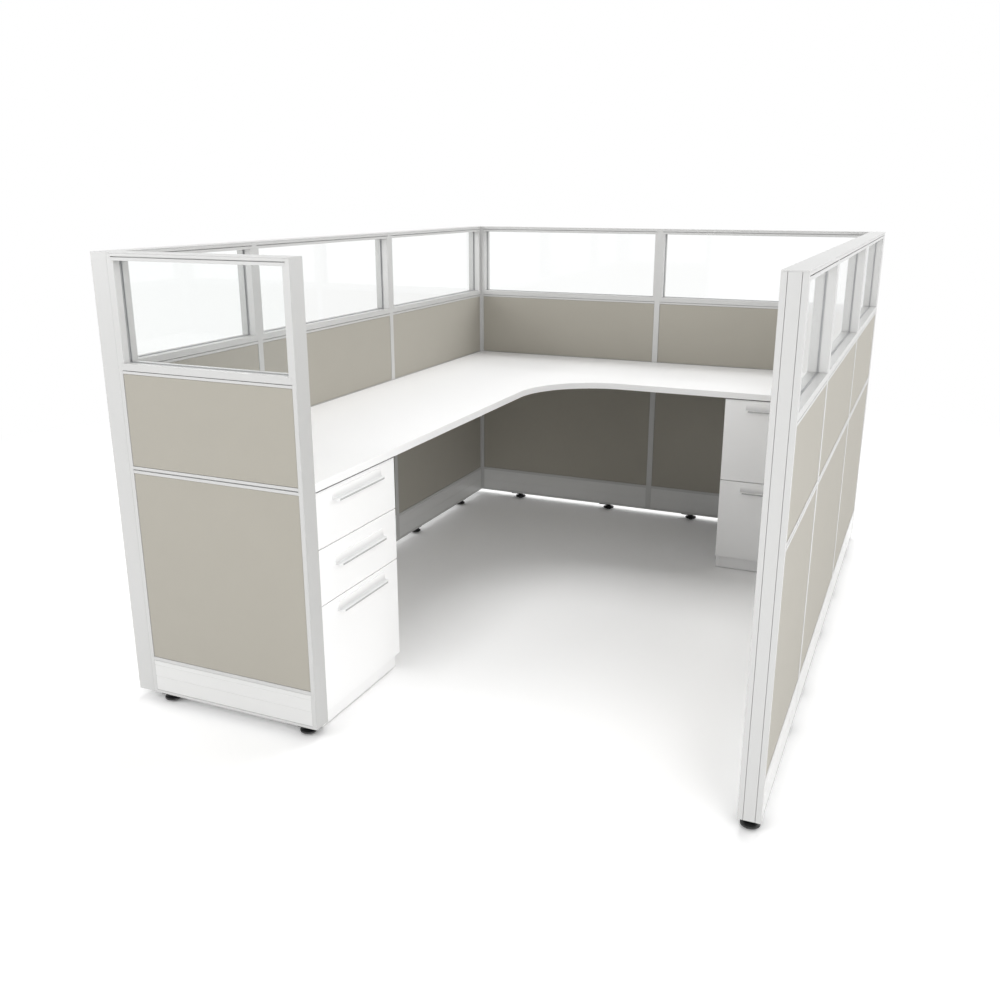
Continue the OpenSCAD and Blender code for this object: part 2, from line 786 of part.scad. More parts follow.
post_front_left();
post_back_left();
post_back_right();
end_trims();
on_wing(0) panel_frame(wing_widths[0]);  // frame_wing
on_left(0) panel_frame(left_widths[0]);  // frame_left_1
on_left(1) panel_frame(left_widths[1]);  // frame_left_2
on_left(2) panel_frame(left_widths[2]);  // frame_left_3
on_back(0) panel_frame(back_widths[0], 0);  // frame_back_1
on_back(1) panel_frame(back_widths[1], 0);  // frame_back_2
on_right(0) panel_frame(right_widths[0]);  // frame_right_1
on_right(1) panel_frame(right_widths[1]);  // frame_right_2
on_right(2) panel_frame(right_widths[2]);  // frame_right_3
all_connectors();  // connector_strips
on_wing(0) panel_glass(wing_widths[0]);  // glass_wing
for (i = [0 : len(left_widths) - 1]) on_left(i) panel_glass(left_widths[i]);  // glass_left
for (i = [0 : len(back_widths) - 1]) on_back(i) panel_glass(back_widths[i]);  // glass_back
for (i = [0 : len(right_widths) - 1]) on_right(i) panel_glass(right_widths[i]);  // glass_right
window_gaskets();
on_wing(0) panel_tiles(wing_widths[0]);  // tiles_wing
for (i = [0 : len(left_widths) - 1]) on_left(i) panel_tiles(left_widths[i]);  // tiles_left
for (i = [0 : len(back_widths) - 1]) on_back(i) panel_tiles(back_widths[i]);  // tiles_back
for (i = [0 : len(right_widths) - 1]) on_right(i) panel_tiles(right_widths[i]);  // tiles_right
on_wing(0) panel_covers(wing_widths[0]);  // covers_wing
for (i = [0 : len(left_widths) - 1]) on_left(i) panel_covers(left_widths[i]);  // covers_left
for (i = [0 : len(back_widths) - 1]) on_back(i) panel_covers(back_widths[i]);  // covers_back
for (i = [0 : len(right_widths) - 1]) on_right(i) panel_covers(right_widths[i]);  // covers_right
levelling_feet();
worksurface();
edge_band();
desk_brackets();
at_left_pedestal() pedestal_case(left_case_y1);  // left_case
at_right_pedestal() pedestal_case(right_case_y1);  // right_case
cabinet_slides();

at_left_pedestal() drawer_front(top_z0, box_front_h);  // front_left_top
at_left_pedestal() drawer_box(top_z0, box_front_h, left_box_y1);  // box_left_top
at_left_pedestal() drawer_pull(top_z0, box_front_h, pull_drop);  // pull_left_top
at_left_pedestal() drawer_slide(top_z0, left_box_y1);  // slide_left_top
at_left_pedestal() middle_slide(top_z0, left_box_y1);  // mid_slide_left_top
at_left_pedestal() drawer_front(middle_z0, box_front_h);  // front_left_middle
at_left_pedestal() drawer_box(middle_z0, box_front_h, left_box_y1);  // box_left_middle
at_left_pedestal() drawer_pull(middle_z0, box_front_h, pull_drop_middle);  // pull_left_middle
at_left_pedestal() drawer_slide(middle_z0, left_box_y1);  // slide_left_middle
at_left_pedestal() middle_slide(middle_z0, left_box_y1);  // mid_slide_left_middle
at_left_pedestal() drawer_front(plinth_h, file_front_h);  // front_left_file
at_left_pedestal() drawer_box(plinth_h, file_front_h, left_box_y1);  // box_left_file
at_left_pedestal() drawer_pull(plinth_h, file_front_h, pull_drop);  // pull_left_file
at_left_pedestal() drawer_slide(plinth_h, left_box_y1);  // slide_left_file
at_left_pedestal() middle_slide(plinth_h, left_box_y1);  // mid_slide_left_file
at_right_pedestal() drawer_front(middle_z0, upper_front_h);  // front_right_upper
at_right_pedestal() drawer_box(middle_z0, upper_front_h, right_box_y1);  // box_right_upper
at_right_pedestal() drawer_pull(middle_z0, upper_front_h, pull_drop);  // pull_right_upper
at_right_pedestal() drawer_slide(middle_z0, right_box_y1);  // slide_right_upper
at_right_pedestal() middle_slide(middle_z0, right_box_y1);  // mid_slide_right_upper
at_right_pedestal() drawer_front(plinth_h, file_front_h);  // front_right_lower
at_right_pedestal() drawer_box(plinth_h, file_front_h, right_box_y1);  // box_right_lower
at_right_pedestal() drawer_pull(plinth_h, file_front_h, pull_drop);  // pull_right_lower
at_right_pedestal() drawer_slide(plinth_h, right_box_y1);  // slide_right_lower
at_right_pedestal() middle_slide(plinth_h, right_box_y1);  // mid_slide_right_lower
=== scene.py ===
# %% [markdown]
# # A cubicle workstation of framed panels
#
# The real object is office furniture: nine framed panels with cloth tiles and glazed tops
# stand round an L-shaped worksurface with two drawer pedestals. Its shape is already fixed
# by a imported model, so this lesson is about the looks. Each part keeps its place, and we
# give it softened edges, finer pieces and materials made of nodes.
#
# We start by loading that model and noting its box.

# %% Load the fixed frame
import json
import math
import bmesh
import bpy
from mathutils import Matrix, Vector

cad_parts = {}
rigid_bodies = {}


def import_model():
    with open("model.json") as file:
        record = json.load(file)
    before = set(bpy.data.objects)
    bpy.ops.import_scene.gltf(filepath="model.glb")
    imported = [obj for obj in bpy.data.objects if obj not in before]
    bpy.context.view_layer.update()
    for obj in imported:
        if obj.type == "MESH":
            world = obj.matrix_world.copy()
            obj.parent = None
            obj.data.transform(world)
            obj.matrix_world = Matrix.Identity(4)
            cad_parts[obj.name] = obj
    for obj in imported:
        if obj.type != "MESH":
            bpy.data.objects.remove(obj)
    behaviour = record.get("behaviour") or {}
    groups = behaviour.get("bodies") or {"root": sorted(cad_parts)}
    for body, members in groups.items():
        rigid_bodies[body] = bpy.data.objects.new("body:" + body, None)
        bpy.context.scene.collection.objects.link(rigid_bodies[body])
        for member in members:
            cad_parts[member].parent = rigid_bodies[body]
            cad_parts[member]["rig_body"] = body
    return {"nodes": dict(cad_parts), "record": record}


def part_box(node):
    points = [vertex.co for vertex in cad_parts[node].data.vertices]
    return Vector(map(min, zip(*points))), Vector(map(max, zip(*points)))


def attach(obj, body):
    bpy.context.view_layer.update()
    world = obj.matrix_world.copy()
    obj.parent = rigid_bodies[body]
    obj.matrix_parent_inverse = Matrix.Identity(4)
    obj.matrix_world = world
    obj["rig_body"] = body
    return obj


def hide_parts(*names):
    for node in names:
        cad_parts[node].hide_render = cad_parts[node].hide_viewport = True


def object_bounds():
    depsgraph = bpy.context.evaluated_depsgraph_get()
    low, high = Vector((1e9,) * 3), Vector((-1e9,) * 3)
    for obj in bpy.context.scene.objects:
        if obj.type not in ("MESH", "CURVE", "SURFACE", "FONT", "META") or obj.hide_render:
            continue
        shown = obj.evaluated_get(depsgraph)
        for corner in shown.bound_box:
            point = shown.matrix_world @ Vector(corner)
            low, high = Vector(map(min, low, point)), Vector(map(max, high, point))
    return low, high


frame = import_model()
cad_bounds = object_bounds()
nodes = frame["nodes"]
bpy.ops.object.select_all(action="DESELECT")
MM = 0.001
print("Nodes in the frame:", len(nodes))

# %% [markdown]
# ## The camera
#
# A photograph is matched by a pinhole camera with the same place, turn and field of view.
# These values come from a fit to corners and edges that could be measured in the picture,
# so no trial and error is needed. The rotation is first the pitch and then the turn about
# the upright axis.

# %% Camera
CAMERA_PLACE = (1.2415, -3.4628, 1.5456)
PITCH, ROLL, TURN = 72.98, -0.03, 23.66
SENSOR_WIDTH, FOCAL_LENGTH = 36.0, 35.986
FARTHEST = 200.0

camera_data = bpy.data.cameras.new("Camera")
camera_data.sensor_width = SENSOR_WIDTH
camera_data.lens = FOCAL_LENGTH
camera_data.clip_end = FARTHEST
camera = bpy.data.objects.new("Camera", camera_data)
bpy.context.scene.collection.objects.link(camera)
camera.location = CAMERA_PLACE
camera.rotation_euler = [math.radians(angle) for angle in (PITCH, ROLL, TURN)]
bpy.context.scene.camera = camera
print("Camera lens in mm:", camera_data.lens)

# %% [markdown]
# ## Helpers for node trees
#
# Every material below is a small graph of nodes. Writing the graphs in full would hide
# what they do, so a few helpers add nodes with their values and join the sockets. A value
# may be a number or the output of another node.

# %% Node helpers
def add_node(tree, kind, inputs=None, **settings):
    """Adds a node, sets its properties, and sets or links its inputs."""
    made = tree.nodes.new(kind)
    for key, value in settings.items():
        setattr(made, key, value)
    for key, value in (inputs or {}).items():
        if isinstance(value, bpy.types.NodeSocket):
            tree.links.new(value, made.inputs[key])
        else:
            made.inputs[key].default_value = value
    return made


def calc(tree, operation, a, b=0.0, c=0.0):
    """One Math node, as a value."""
    made = add_node(tree, "ShaderNodeMath", {0: a, 1: b, 2: c}, operation=operation)
    return made.outputs[0]


# %% [markdown]
# Most finishes take the same few steps: the point on the piece goes into a noise, the noise
# is stretched to the values that are wanted, and it darkens a colour or raises a relief.
# Noise hardly ever leaves the middle of its range, so it is stretched from there.

# %% Pattern helpers
NOISE_LOW, NOISE_HIGH = 0.3, 0.7


def grade(tree, value, low, high, start=0.0, end=1.0, blend="LINEAR"):
    """Stretches a value that runs from start to end so that it runs from low to high."""
    made = add_node(tree, "ShaderNodeMapRange",
                    {"Value": value, "From Min": start, "From Max": end,
                     "To Min": low, "To Max": high}, interpolation_type=blend)
    return made.outputs["Result"]


def noise(tree, place, scale, detail, rough=0.5):
    """Noise between 0 and 1."""
    made = add_node(tree, "ShaderNodeTexNoise", {"Vector": place, "Scale": scale,
                                                 "Detail": detail, "Roughness": rough})
    return made.outputs["Fac"]


def dimmed(tree, colour, amount, pattern):
    """A colour that a pattern from 0 to 1 darkens by up to an amount."""
    value = calc(tree, "SUBTRACT", 1.0, calc(tree, "MULTIPLY", amount, pattern))
    made = add_node(tree, "ShaderNodeHueSaturation", {"Color": colour, "Value": value})
    return made.outputs["Color"]


def bumped(tree, strength, depth, height):
    """The normal of a relief whose height runs from 0 to 1."""
    made = add_node(tree, "ShaderNodeBump", {"Strength": strength, "Distance": depth,
                                             "Height": height})
    return made.outputs["Normal"]


def object_place(tree):
    """The point that is shaded, in metres."""
    return add_node(tree, "ShaderNodeTexCoord").outputs["Object"]


# %% [markdown]
# A group is a graph of its own that many materials can use, each with its own values. Its
# named sockets are made on the interface of its tree.

# %% Group helpers
def new_group(name, inputs, outputs):
    """A shader node group with named sockets, and its two end nodes."""
    tree = bpy.data.node_groups.new(name, "ShaderNodeTree")
    for label, kind, value in inputs:
        socket = tree.interface.new_socket(label, in_out="INPUT", socket_type=kind)
        if value is not None:
            socket.default_value = value
    for label, kind in outputs:
        tree.interface.new_socket(label, in_out="OUTPUT", socket_type=kind)
    start = tree.nodes.new("NodeGroupInput")
    end = tree.nodes.new("NodeGroupOutput")
    return tree, start.outputs, end.inputs


def send(tree, sockets, **values):
    """Links each value to the socket of its name."""
    for label, value in values.items():
        tree.links.new(value, sockets[label])


# %% [markdown]
# ## Effects that several materials share
#
# Paint, laminate and plastic are never perfectly even. At arm's length one sees a fine
# texture from the coating, and from across the room only slow, faint changes in gloss.
# One group makes both from noise at two scales. It reads object coordinates, so the grain
# has a true size in metres and doesn't stretch with the piece.

# %% Group: fine surface
FLOAT, VECTOR, COLOUR = "NodeSocketFloat", "NodeSocketVector", "NodeSocketColor"
SURFACE_OUTPUTS = [("Colour", COLOUR), ("Roughness", FLOAT), ("Normal", VECTOR)]
SLOW_SCALE = 3.5
GRAIN_DEPTH = 0.4 * MM

fine_surface, given, wanted = new_group(
    "Fine surface",
    [("Colour", COLOUR, None), ("Grain size", FLOAT, 0.002), ("Bump", FLOAT, 0.1),
     ("Gloss low", FLOAT, 0.3), ("Gloss high", FLOAT, 0.4), ("Shade", FLOAT, 0.03)],
    SURFACE_OUTPUTS)
group = fine_surface
place = object_place(group)
grain = noise(group, place, calc(group, "DIVIDE", 1.0, given["Grain size"]), 2.0)
slow = noise(group, place, SLOW_SCALE, 4.0, 0.6)
send(group, wanted,
     Colour=dimmed(group, given["Colour"], given["Shade"], slow),
     Roughness=grade(group, slow, given["Gloss low"], given["Gloss high"],
                     NOISE_LOW, NOISE_HIGH),
     Normal=bumped(group, given["Bump"], GRAIN_DEPTH, grain))
print("Group made:", group.name)

# %% [markdown]
# Brushed metal has fine parallel scratches. They come from noise that is drawn out more
# than two hundred times along the metal. The drawer pulls run along X on one pedestal and
# along Y on the other, so both level axes are drawn out alike, and the scratches are packed
# closely in height alone.

# %% Group: brushed lines
LINES_PER_METRE = (9.0, 9.0, 2400.0)
LINE_DEPTH = 0.2 * MM

brushed, given, wanted = new_group(
    "Brushed lines",
    [("Colour", COLOUR, None), ("Bump", FLOAT, 0.1), ("Gloss low", FLOAT, 0.2),
     ("Gloss high", FLOAT, 0.4), ("Shade", FLOAT, 0.1)],
    SURFACE_OUTPUTS)
group = brushed
stretch = add_node(group, "ShaderNodeMapping", {"Vector": object_place(group),
                                                "Scale": LINES_PER_METRE})
lines = noise(group, stretch.outputs["Vector"], 1.0, 3.0, 0.6)
send(group, wanted,
     Colour=dimmed(group, given["Colour"], given["Shade"], lines),
     Roughness=grade(group, lines, given["Gloss low"], given["Gloss high"],
                     NOISE_LOW, NOISE_HIGH),
     Normal=bumped(group, given["Bump"], LINE_DEPTH, lines))
print("Group made:", group.name)

# %% [markdown]
# The tiles are covered in a plain weave: each thread goes over one and under the next. Two
# sine waves at right angles give the threads, and their product tells which one is on top.
# A tile faces either X or Y, so the sum of both horizontal coordinates runs along the
# cloth on every tile. Slow noise bends the threads a little and varies their shade, as
# heather yarn does.

# %% Group: plain weave
WANDER_SCALE, YARN_SCALE, PATCH_SCALE = 60.0, 420.0, 9.0
THREAD_SHIFT, THREAD_DEPTH = 0.8 * MM, 0.3 * MM
THREAD_ROUGH, GAP_ROUGH = 0.85, 0.95
YARN_SHARE, PATCH_SHARE, YARN_RELIEF = 0.7, 0.4, 0.4


def mix(tree, share, a, b):
    """A mix of two values, in which the first has the given share."""
    return calc(tree, "MULTIPLY_ADD", a, share, calc(tree, "MULTIPLY", b, 1.0 - share))


weave, given, wanted = new_group(
    "Plain weave",
    [("Colour", COLOUR, None), ("Thread", FLOAT, 0.0012), ("Bump", FLOAT, 0.5),
     ("Heather", FLOAT, 0.1)],
    SURFACE_OUTPUTS)
group = weave
place = object_place(group)
axes = add_node(group, "ShaderNodeSeparateXYZ", {"Vector": place}).outputs
shift = calc(group, "MULTIPLY", noise(group, place, WANDER_SCALE, 2.0), THREAD_SHIFT)
turns = calc(group, "DIVIDE", math.pi, given["Thread"])
along = calc(group, "ADD", calc(group, "ADD", axes["X"], axes["Y"]), shift)
upward = calc(group, "ADD", axes["Z"], shift)
warp = calc(group, "SINE", calc(group, "MULTIPLY", along, turns))
weft = calc(group, "SINE", calc(group, "MULTIPLY", upward, turns))
over = calc(group, "MULTIPLY_ADD", calc(group, "MULTIPLY", warp, weft), 0.5, 0.5)
yarn = noise(group, place, YARN_SCALE, 3.0)
patch = noise(group, place, PATCH_SCALE, 3.0)
threads = mix(group, YARN_SHARE, yarn, over)
heather = mix(group, PATCH_SHARE, patch, threads)
send(group, wanted,
     Colour=dimmed(group, given["Colour"], given["Heather"], heather),
     Roughness=grade(group, over, GAP_ROUGH, THREAD_ROUGH),
     Normal=bumped(group, given["Bump"], THREAD_DEPTH,
                   calc(group, "MULTIPLY_ADD", yarn, YARN_RELIEF, over)))
print("Group made:", group.name)

# %% [markdown]
# Each pull is darkened with painted shade in the hollow above its shelf: it is darkest in
# the crease and thins out upwards and outwards. Each pull gets a UV map that holds two
# lengths in metres: how far a point stands out from the front, and how high it is above the
# pull's low edge. The group measures the distance to the crease from these.

# %% Group: painted shade in the hollow
PULL_SHEET, PULL_LIP, SHADE_REACH = 3 * MM, 7 * MM, 24 * MM

hollow_painted_shade, given, wanted = new_group(
    "Painted shade in the hollow", [("Colour", COLOUR, None), ("Painted shade", FLOAT, 0.2)],
    [("Colour", COLOUR)])
group = hollow_painted_shade
lengths = add_node(group, "ShaderNodeUVMap", uv_map="Hollow").outputs["UV"]
axes = add_node(group, "ShaderNodeSeparateXYZ", {"Vector": lengths}).outputs
out = calc(group, "MAXIMUM", calc(group, "SUBTRACT", axes["X"], PULL_SHEET), 0.0)
up = calc(group, "MAXIMUM", calc(group, "SUBTRACT", axes["Y"], PULL_LIP), 0.0)
square = calc(group, "MULTIPLY_ADD", out, out, calc(group, "MULTIPLY", up, up))
near = grade(group, calc(group, "SQRT", square), 1.0, 0.0, 0.0, SHADE_REACH, "SMOOTHSTEP")
send(group, wanted, Colour=dimmed(group, given["Colour"], given["Painted shade"], near))
print("Group made:", group.name)

# %% [markdown]
# ## The materials
#
# One function makes a material from a group: the group's colour, roughness and normal feed
# the Principled shader, and what is the same all over stays on the shader's own sockets.
# Colours are written as they would be picked from a screen, so a second helper turns them
# into the linear values that the shader wants.

# %% Material helpers
def tone(r, g, b):
    """A screen colour, 0 to 255, as linear values."""
    parts = [v / 255.0 for v in (r, g, b)]
    return tuple(v / 12.92 if v <= 0.04045 else ((v + 0.055) / 1.055) ** 2.4
                 for v in parts) + (1.0,)


def grouped_material(name, group, group_values, shader_values):
    """A Principled material that reads its colour, gloss and relief from a group."""
    material = bpy.data.materials.new(name)
    material.use_nodes = True
    tree = material.node_tree
    shader = tree.nodes["Principled BSDF"]
    effect = add_node(tree, "ShaderNodeGroup", node_tree=group)
    for key, value in group_values.items():
        effect.inputs[key].default_value = value
    for output, socket in (("Colour", "Base Color"), ("Roughness", "Roughness"),
                           ("Normal", "Normal")):
        tree.links.new(effect.outputs[output], shader.inputs[socket])
    for key, value in shader_values.items():
        shader.inputs[key].default_value = value
    return material


# %% [markdown]
# The frames are extruded metal under a satin white powder coat. It has a fine orange peel
# and a soft sheen, so the base is nearly white, with a thin clear coat for the highlight.
# The raceway covers are sheet metal in the same coat. Hidden connectors stay bare.

# %% Materials of the frames
looks = {}
looks["frame_white"] = grouped_material(
    "Satin white coat", fine_surface,
    {"Colour": tone(196, 196, 195), "Grain size": 0.0016, "Bump": 0.12,
     "Gloss low": 0.34, "Gloss high": 0.42, "Shade": 0.02},
    {"Coat Weight": 0.25, "Coat Roughness": 0.22})
looks["cover_white"] = grouped_material(
    "Satin white sheet", fine_surface,
    {"Colour": tone(214, 214, 213), "Grain size": 0.0016, "Bump": 0.1,
     "Gloss low": 0.28, "Gloss high": 0.36, "Shade": 0.02},
    {"Coat Weight": 0.4, "Coat Roughness": 0.16})
looks["connector_metal"] = grouped_material(
    "Mill finish metal", brushed,
    {"Colour": tone(205, 206, 208), "Bump": 0.1, "Gloss low": 0.3, "Gloss high": 0.45,
     "Shade": 0.08},
    {"Metallic": 1.0})
looks["bracket_grey"] = grouped_material(
    "Grey powder coat", fine_surface,
    {"Colour": tone(196, 197, 198), "Grain size": 0.0014, "Bump": 0.25,
     "Gloss low": 0.42, "Gloss high": 0.52, "Shade": 0.04},
    {})
print("Materials so far:", len(looks))

# %% [markdown]
# The worksurface and the pedestals are board with a matte white laminate. Laminate has a
# crystal texture of about a millimetre that only shows where light grazes it. Its edges
# are closed by a plastic band, a touch smoother. The drawer boxes have a thin light grey
# foil.

# %% Materials of the boards
looks["worktop_white"] = grouped_material(
    "White laminate", fine_surface,
    {"Colour": tone(254, 254, 254), "Grain size": 0.0011, "Bump": 0.18,
     "Gloss low": 0.42, "Gloss high": 0.5, "Shade": 0.015},
    {})
looks["case_white"] = grouped_material(
    "White case laminate", fine_surface,
    {"Colour": tone(252, 252, 252), "Grain size": 0.0011, "Bump": 0.16,
     "Gloss low": 0.42, "Gloss high": 0.5, "Shade": 0.02},
    {})
looks["front_white"] = grouped_material(
    "White front laminate", fine_surface,
    {"Colour": tone(254, 254, 254), "Grain size": 0.0011, "Bump": 0.16,
     "Gloss low": 0.36, "Gloss high": 0.44, "Shade": 0.015},
    {})
looks["edge_white"] = grouped_material(
    "Edge band", fine_surface,
    {"Colour": tone(252, 252, 252), "Grain size": 0.0022, "Bump": 0.08,
     "Gloss low": 0.38, "Gloss high": 0.46, "Shade": 0.02},
    {})
looks["box_grey"] = grouped_material(
    "Grey drawer foil", fine_surface,
    {"Colour": tone(214, 214, 212), "Grain size": 0.003, "Bump": 0.15,
     "Gloss low": 0.5, "Gloss high": 0.6, "Shade": 0.05},
    {})
print("Materials so far:", len(looks))

# %% [markdown]
# The cloth has no highlight of its own, only a soft sheen at the edge of sight from the
# fibres that stand up. The slides are zinc-plated steel, so they are fully metallic. The
# pulls are aluminium under a white satin lacquer, which hides the metal but not the fine
# lines of its brushing. Feet are plastic, and the gaskets and the strips on the pulls are
# rubber.

# %% Materials of cloth, metal and plastic
looks["tile_fabric"] = grouped_material(
    "Woven cloth", weave,
    {"Colour": tone(169, 165, 155), "Thread": 0.0012, "Bump": 0.35, "Heather": 0.09},
    {"Sheen Weight": 0.15, "Sheen Roughness": 0.6, "Specular IOR Level": 0.2})
looks["slide_steel"] = grouped_material(
    "Zinc plated steel", brushed,
    {"Colour": tone(196, 199, 202), "Bump": 0.08, "Gloss low": 0.24, "Gloss high": 0.4,
     "Shade": 0.15},
    {"Metallic": 1.0})
looks["pull_silver"] = grouped_material(
    "Lacquered aluminium", brushed,
    {"Bump": 0.1, "Gloss low": 0.4, "Gloss high": 0.5, "Shade": 0.02},
    {})
# The pulls' white goes through the group that paints shade into the hollow above the shelf.
tree = looks["pull_silver"].node_tree
painted_shade = add_node(tree, "ShaderNodeGroup", node_tree=hollow_painted_shade)
painted_shade.inputs["Colour"].default_value = tone(253, 253, 253)
painted_shade.inputs["Painted shade"].default_value = 0.26
brushing = [n for n in tree.nodes if n.type == "GROUP" and n.node_tree == brushed][0]
tree.links.new(painted_shade.outputs["Colour"], brushing.inputs["Colour"])
looks["foot_black"] = grouped_material(
    "Black plastic", fine_surface,
    {"Colour": tone(24, 24, 25), "Grain size": 0.0012, "Bump": 0.3,
     "Gloss low": 0.42, "Gloss high": 0.55, "Shade": 0.2},
    {})
looks["gasket_grey"] = grouped_material(
    "Grey rubber", fine_surface,
    {"Colour": tone(160, 161, 162), "Grain size": 0.0015, "Bump": 0.2,
     "Gloss low": 0.6, "Gloss high": 0.75, "Shade": 0.1},
    {})
looks["strip_grey"] = grouped_material(
    "Grey strip rubber", fine_surface,
    {"Colour": tone(182, 182, 182), "Grain size": 0.001, "Bump": 0.25,
     "Gloss low": 0.5, "Gloss high": 0.6, "Shade": 0.06},
    {})
# A dark material for the strip that is painted shade in the gap over the top drawers.
looks["shade_strip_dark"] = grouped_material(
    "Dark painted shade", fine_surface,
    {"Colour": tone(96, 96, 97), "Grain size": 0.0018, "Bump": 0.5,
     "Gloss low": 0.85, "Gloss high": 0.95, "Shade": 0.25},
    {})
print("Materials so far:", len(looks))

# %% [markdown]
# Clear glass is a Principled shader with full transmission and a very faint tint. Its index
# of refraction is under that of real glass, so that its reflections stay faint. A path
# tracer would give each pane a dark shadow, because it can't find the lamp through a bending
# surface, so shadow rays and soft light pass through a transparent shader instead. Faint
# smears in the gloss keep the panes from looking empty.

# %% Material of the glass
GLASS_TINT = (0.868, 0.876, 0.873, 1.0)
GLASS_IOR = 1.35
SMEAR_SCALE, SMEAR_ROUGH = 5.0, 0.02

glass = bpy.data.materials.new("Clear glass")
glass.use_nodes = True
tree = glass.node_tree
pane = tree.nodes["Principled BSDF"]
pane.inputs["Base Color"].default_value = GLASS_TINT
pane.inputs["Transmission Weight"].default_value = 1.0
pane.inputs["IOR"].default_value = GLASS_IOR
smears = noise(tree, object_place(tree), SMEAR_SCALE, 5.0)
tree.links.new(grade(tree, smears, 0.0, SMEAR_ROUGH), pane.inputs["Roughness"])
rays = add_node(tree, "ShaderNodeLightPath").outputs
soft = calc(tree, "MAXIMUM", rays["Is Shadow Ray"], rays["Is Diffuse Ray"])
clear = add_node(tree, "ShaderNodeBsdfTransparent")
both = add_node(tree, "ShaderNodeMixShader", {0: soft, 1: pane.outputs["BSDF"],
                                              2: clear.outputs["BSDF"]})
tree.links.new(both.outputs["Shader"], tree.nodes["Material Output"].inputs["Surface"])
looks["clear_glass"] = glass
print("Materials in all:", len(looks))

# %% [markdown]
# Every node of the frame takes the material of its slot, which the record names.

# %% Give each node its material
slot_of = {s["node"]: s["material_slot"] for s in frame["record"]["subparts"]}


def dress(piece, slot):
    """Gives a piece one material and nothing else."""
    piece.data.materials.clear()
    piece.data.materials.append(looks[slot])
    for face in piece.data.polygons:
        face.material_index = 0


for name, piece in nodes.items():
    dress(piece, slot_of[name])
print("Nodes dressed:", len(nodes))

# %% [markdown]
# ## Softened edges
#
# No real edge is perfectly sharp: sheet metal is folded, extrusions have small radii and
# boards are banded and scraped. A bevel of half a millimetre is enough to catch a line of
# light. The frame's own meshes can't be edited, so each one is copied first, and its loose
# triangles are merged into whole faces. An operator acts on all that is selected, so one
# helper selects a piece and nothing else.

# %% Copy a node
WELD, MERGE_ANGLE = 0.02 * MM, math.radians(0.5)


def only(piece):
    """Selects one piece and makes it active."""
    bpy.ops.object.select_all(action="DESELECT")
    piece.select_set(True)
    bpy.context.view_layer.objects.active = piece


def merged_copy(node):
    """A copy of a node with its triangles merged into whole faces."""
    piece = bpy.data.objects.new("fine_" + node, nodes[node].data.copy())
    bpy.context.scene.collection.objects.link(piece)
    only(piece)
    bpy.ops.object.mode_set(mode="EDIT")
    bpy.ops.mesh.select_all(action="SELECT")
    bpy.ops.mesh.remove_doubles(threshold=WELD)
    bpy.ops.mesh.dissolve_limited(angle_limit=MERGE_ANGLE)
    bpy.ops.object.mode_set(mode="OBJECT")
    return piece


# %% [markdown]
# The copy is then bevelled along every edge that is sharper than the given angle, and a
# Weighted Normal modifier keeps its large faces flat in shading.

# %% Soften the edges of a copy
SHARP_ANGLE = math.radians(35.0)


def apply_modifier(piece, kind, **settings):
    """Adds a modifier, sets it and applies it."""
    modifier = piece.modifiers.new(kind.title(), kind)
    for key, value in settings.items():
        setattr(modifier, key, value)
    only(piece)
    bpy.ops.object.modifier_apply(modifier=modifier.name)


def finish_edges(piece, radius, segments):
    """Bevels the sharp edges of a piece and shades it."""
    apply_modifier(piece, "BEVEL", width=radius, segments=segments, limit_method="ANGLE",
                   angle_limit=SHARP_ANGLE)
    only(piece)
    bpy.ops.object.shade_smooth_by_angle(angle=SHARP_ANGLE)
    apply_modifier(piece, "WEIGHTED_NORMAL", keep_sharp=True, weight=90)


# %% [markdown]
# The finished copy is shown instead of its node. It rides on the same body, so a drawer's
# front still opens with its drawer, and it keeps the same slot.

# %% Let a copy stand for its node
softened = []


def stand_for(piece, node):
    """The piece takes a node's place, body and slot."""
    dress(piece, slot_of[node])
    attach(piece, nodes[node]["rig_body"])
    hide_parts(node)


def soften(node, radius, segments=2):
    """Stands a softened copy in a node's place."""
    piece = merged_copy(node)
    finish_edges(piece, radius, segments)
    stand_for(piece, node)
    softened.append(piece)
    return piece


# %% [markdown]
# The frames, posts and raceway covers get very small radii, because their reveals are only
# a few millimetres wide.

# %% Soften the metal parts
METAL_RADIUS, COVER_RADIUS = 0.35 * MM, 0.25 * MM

frames = [n for n in nodes if n.startswith("frame_")]
posts = [n for n in nodes if n.startswith("post_")]
covers = [n for n in nodes if n.startswith("covers_")]
for name in frames + posts + ["end_trims", "desk_brackets"]:
    soften(name, METAL_RADIUS)
for name in covers:
    soften(name, COVER_RADIUS)
print("Softened pieces so far:", len(softened))

# %% [markdown]
# The boards have wider radii at their banded edges, and the pulls are finished smooth to
# the hand. Each pull also gets the UV map that the painted shade reads. The left drawers open
# along
# +X and the right ones along -Y, so the two pedestals measure outwards along their own axis.

# %% Soften the boards and pulls
FRONT_RADIUS, BOARD_RADIUS, PULL_RADIUS = 0.9 * MM, 0.5 * MM, 0.7 * MM
TILE_RADIUS, FOOT_RADIUS = 0.4 * MM, 0.5 * MM
TOP_RADIUS, BAND_RADIUS = 0.15 * MM, 0.6 * MM

